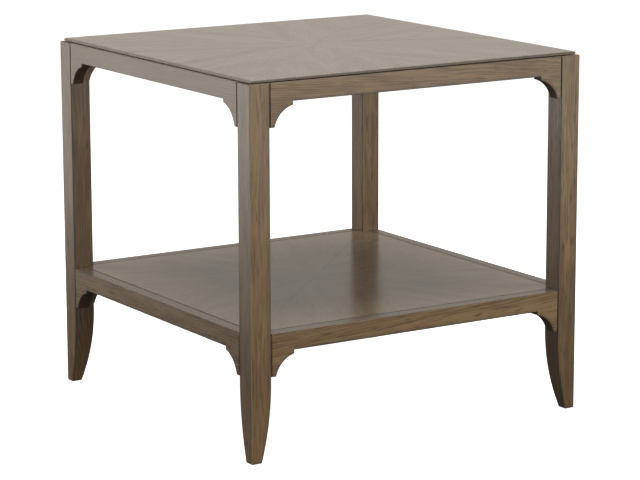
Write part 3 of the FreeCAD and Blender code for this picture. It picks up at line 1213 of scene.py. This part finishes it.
@dataclass
class Studio:
    """A pale floor, soft lights and bright air."""

    lights: Sequence[SoftBox]
    paint: FloorPaint = FloorPaint()
    floor_half: float = 14.0
    sky: float = 0.070
    ground: float = 0.081
    horizon: Pair = (-0.1, 0.1)

    def build(self) -> None:
        """Lay the floor, hang the lights and fill the air."""
        self.lay_floor()
        for light in self.lights:
            light.build()
        self.fill_air()
        bpy.context.scene.view_settings.view_transform = "Standard"

    def lay_floor(self) -> None:
        """Make the floor, which only the camera sees, so that it throws no light up."""
        mesh = bpy.data.meshes.new("studio_floor")
        shell = bmesh.new()
        bmesh.ops.create_grid(shell, x_segments=2, y_segments=2, size=self.floor_half)
        shell.to_mesh(mesh)
        shell.free()
        floor = bpy.data.objects.new("studio_floor", mesh)
        bpy.context.scene.collection.objects.link(floor)
        floor.visible_diffuse = False
        floor.visible_glossy = False
        floor.visible_transmission = False
        floor.visible_shadow = False
        mesh.materials.append(self.paint.material("studio_floor_paint"))
        LOG.info("laid the floor")

    def fill_air(self) -> None:
        """White to the camera; to the table, soft light from above and little from below."""
        world = bpy.data.worlds.new("studio_air")
        world.use_nodes = True
        graph = ShaderGraph(world.node_tree)
        height = graph.split(graph.out(graph.node("ShaderNodeTexCoord"), "Generated"))[2]
        white = {"Color": (1.0, 1.0, 1.0, 1.0)}
        low, high, seen = (
            graph.out(graph.node("ShaderNodeBackground", inputs={**white, "Strength": strength}))
            for strength in (self.ground, self.sky, 1.0)
        )
        light = graph.mix(height.rise(self.horizon), low, high)
        to_camera = graph.out(graph.node("ShaderNodeLightPath"), "Is Camera Ray")
        air = graph.mix(to_camera, light, seen)
        graph.node("ShaderNodeOutputWorld", inputs={"Surface": air})
        bpy.context.scene.world = world


@dataclass(frozen=True)
class TableCamera:
    """Camera that looks down on the front left corner."""

    at: Triple = (-2.43230, -3.86471, 1.22154)
    turn_deg: Triple = (78.3734, 0.1636, -32.3317)
    lens_mm: float = 147.46
    sensor_mm: float = 36.0
    sees_to: float = 100.0

    def build(self) -> None:
        """Set up the camera."""
        lens = bpy.data.cameras.new("table_camera")
        lens.sensor_width = self.sensor_mm
        lens.lens = self.lens_mm
        lens.clip_end = self.sees_to
        holder = bpy.data.objects.new("table_camera", lens)
        holder.location = self.at
        holder.rotation_euler = Euler([math.radians(turn) for turn in self.turn_deg])
        bpy.context.scene.collection.objects.link(holder)
        bpy.context.scene.camera = holder
        LOG.info("set up the camera")


# Stains
FRAME_STAIN = OakStain()
# Colours on faces that look up are painted light and shade: dark in the shadow gap under the top by
# default, paler on the left apron and the rails
LEFT_LIT_APRON_STAIN = replace(FRAME_STAIN, painted_top_shading=(0.270, 0.235, 0.195))
RAIL_LIT_TOP_STAIN = replace(FRAME_STAIN, painted_top_shading=(0.182, 0.140, 0.098))
LEAF_STAIN = OakStain(
    late=(0.309, 0.261, 0.213),
    early=(0.171, 0.129, 0.096),
    pore=(0.073, 0.053, 0.039),
    warm=(0.272, 0.196, 0.161),
    cool=(0.249, 0.231, 0.167),
    roughness=0.24,
)
# The shelf's warmer copy of the leaf stain is painted warm bounce light under the top
SHELF_BOUNCE_LIGHT_STAIN = replace(
    LEAF_STAIN,
    late=(0.318, 0.238, 0.150),
    early=(0.175, 0.118, 0.065),
    warm=(0.275, 0.180, 0.122),
    cool=(0.252, 0.212, 0.125),
    roughness=0.21,
)
EDGE_STAIN = OakStain(
    late=(0.189, 0.127, 0.072),
    early=(0.109, 0.070, 0.037),
    pore=(0.046, 0.030, 0.017),
    warm=(0.155, 0.088, 0.055),
    cool=(0.155, 0.114, 0.055),
    roughness=0.42,
)
# paler painted light on the left edge strip's faces that look up
LEFT_LIT_EDGE_STAIN = replace(EDGE_STAIN, painted_top_shading=(0.300, 0.265, 0.225))

# Finishes; on the left side the faces that look up get paler painted light
FRAME_OAK = Oak(FRAME_STAIN)
# rails: paler painted light on their tops, and a smoother finish there
RAIL_OAK = Oak(RAIL_LIT_TOP_STAIN, painted_top_shading=0.85, crown_polish=0.11)
LEAF_OAK = Oak(LEAF_STAIN, painted_edge_shade=0.0, relief=0.006)
# the top's edge strips: painted shade along their edges, heavier at the front and lighter on the left
EDGE_OAK = Oak(EDGE_STAIN, painted_edge_shade=0.54, edge_shade_width=0.0028, painted_top_shading=0.0, lit_upper_edges=False)
APRON_OAKS = {side: FRAME_OAK for side in Side} | {Side.LEFT: Oak(LEFT_LIT_APRON_STAIN)}
RAIL_OAKS = {side: RAIL_OAK for side in Side}
EDGE_OAKS = {side: EDGE_OAK for side in Side} | {
    Side.FRONT: replace(EDGE_OAK, painted_edge_shade=0.68),
    Side.LEFT: replace(EDGE_OAK, stain=LEFT_LIT_EDGE_STAIN, painted_edge_shade=0.18, painted_top_shading=1.0),
}
BARE_GRAIN = Waves((9.0, 120.0, 120.0), (3.0, 1.0, 2.0), octaves=5.0, rough=0.6)
CORE_GRAIN = replace(BARE_GRAIN, stretch=(6.0, 160.0, 160.0))
CORE_BOARD = PlainTimber((0.42, 0.31, 0.20), (0.30, 0.21, 0.13), CORE_GRAIN, 0.70)
BARE_WOOD = PlainTimber((0.55, 0.42, 0.27), (0.40, 0.28, 0.16), BARE_GRAIN, 0.62)

# Boards
LEG = BoardCut(Grain.UPRIGHT, pitch=0.0035, figure=3.0, painted_edge_shade=0.7)
# Per leg: painted shade on inward faces and towards the foot, painted highlight on the outer corner, and
# how much painted edge shade is left off the corners
LEG_CUTS = {
    Corner.FRONT_LEFT: replace(LEG, pith=(0.055, 0.062), seed=439.8, figure=2.6, inward=0.20, painted_corner_highlight=0.9),
    Corner.FRONT_RIGHT: replace(
        LEG, pith=(-0.070, 0.050), seed=14.7, figure=3.9, unshaded_corners=0.45, inward=0.36, painted_foot_shade=0.36
    ),
    Corner.BACK_RIGHT: replace(LEG, pith=(0.060, -0.058), seed=263.0, painted_corner_highlight=0.3),
    Corner.BACK_LEFT: replace(LEG, pith=(-0.052, 0.066), seed=205.3, unshaded_corners=0.6, inward=0.28),
}
# the edge shares below set the painted shade along each board's edges
LONG = BoardCut(Grain.ALONG_X, contrast=0.6, painted_edge_shade=0.8)
CROSS = replace(LONG, grain=Grain.ALONG_Y)
APRON_CUTS = {
    Side.FRONT: replace(LONG, pith=(0.060, 0.050), seed=31.0, slope=0.075, figure=3.0, painted_edge_shade=0.9),
    Side.RIGHT: replace(CROSS, pith=(-0.055, 0.045), seed=36.3, slope=-0.03, figure=2.2),
    Side.BACK: replace(LONG, pith=(0.070, -0.040), seed=41.6, slope=0.04, figure=2.4),
    Side.LEFT: replace(CROSS, pith=(-0.062, 0.052), seed=107.3, slope=0.02, figure=0.8, painted_edge_shade=0.3),
}
RAIL_CUTS = {
    Side.FRONT: replace(LONG, pith=(-0.050, 0.046), seed=327.6, slope=-0.05, figure=3.4, painted_edge_shade=0.9),
    Side.RIGHT: replace(CROSS, pith=(0.058, 0.050), seed=88.3, slope=0.03, figure=2.6),
    Side.BACK: replace(LONG, pith=(-0.064, -0.044), seed=93.6, slope=-0.02, figure=2.6),
    Side.LEFT: replace(CROSS, pith=(0.056, 0.048), seed=159.3, slope=0.03, figure=3.2, painted_edge_shade=0.6),
}
RAIL_BRACKET_SEEDS = {
    Side.FRONT: (574.5, 145.8),
    Side.RIGHT: (89.6, 90.7),
    Side.BACK: (94.9, 96.0),
    Side.LEFT: (100.2, 652.9),
}
LEAF = BoardCut(Grain.ALONG_X, pitch=0.0036, sway=0.045)
TOP_LEAF = replace(LEAF, pith=(0.012, 0.075), seed=5.0, figure=0.34, pores=0.25, fine=0.4)
SHELF_LEAF = replace(LEAF, pith=(-0.010, 0.080), seed=8.5, figure=0.65, pores=0.9, fine=0.6)

# Lights
WARM_WHITE = (1.0, 0.93, 0.84)
LIGHTS = (
    SoftBox("left_panel", (-2.20, 1.68, 0.53), (-0.97, 0.10, 0.53), (2.4, 1.3), 33.6),
    SoftBox("front_panel_right", (1.32, -2.46, 0.55), (0.0, -0.33, 0.55), (2.0, 1.1), 17.5),
    SoftBox("front_far", (0.2, -3.0, 0.7), (0.0, 0.0, 0.45), (2.2, 1.0), 24.5, mirrored=False),
    SoftBox("camera_fill", (-1.9, -2.6, 0.9), (-0.2, -0.2, 0.45), (1.6, 1.2), 15.4, mirrored=False),
    SoftBox("right_fill", (2.6, -1.6, 1.2), (0.0, 0.0, 0.4), (1.6, 1.4), 21.0, mirrored=False),
    SoftBox("behind_high", (1.871, 2.905, 1.472), (-0.029, -0.045, 1.072), (3.2, 0.65), 3.0),
    SoftBox(
        "behind_low", (1.920, 2.981, 0.677), (0.020, 0.031, 0.277), (3.2, 0.95), 4.5, colour=WARM_WHITE
    ),
    SoftBox("overhead", (0.0, 0.0, 2.80), (0.0, 0.0, 0.0), (2.6, 2.6), 76.5),
)


def main() -> None:
    """Dress the table piece by piece, then set up the studio and the camera."""
    logging.basicConfig(level=logging.INFO, format="%(name)s: %(message)s")
    LegSet(FRAME_OAK, LEG_CUTS).dress()
    SideFrame("apron", "apron_bracket", APRON_OAKS, APRON_CUTS).dress()
    SideFrame("shelf_rail", "rail_bracket", RAIL_OAKS, RAIL_CUTS, RAIL_BRACKET_SEEDS).dress()
    top_leaves = SunburstVeneer(LEAF_OAK, TOP_LEAF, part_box("top_veneer")[1].x)
    shelf_leaves = SunburstVeneer(
        replace(LEAF_OAK, stain=SHELF_BOUNCE_LIGHT_STAIN),
        SHELF_LEAF,
        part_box("shelf_veneer")[1].x,
        border_darkness=0.9,
    )
    TopPanel(top_leaves, EDGE_OAKS, CORE_BOARD, BARE_WOOD).dress()
    ShelfPanel(shelf_leaves, CORE_BOARD, BARE_WOOD).dress()
    Glides(MouldedPlastic()).build()
    Screws(PlatedSteel()).build()
    Studio(LIGHTS).build()
    TableCamera().build()


if __name__ == "__main__":
    main()
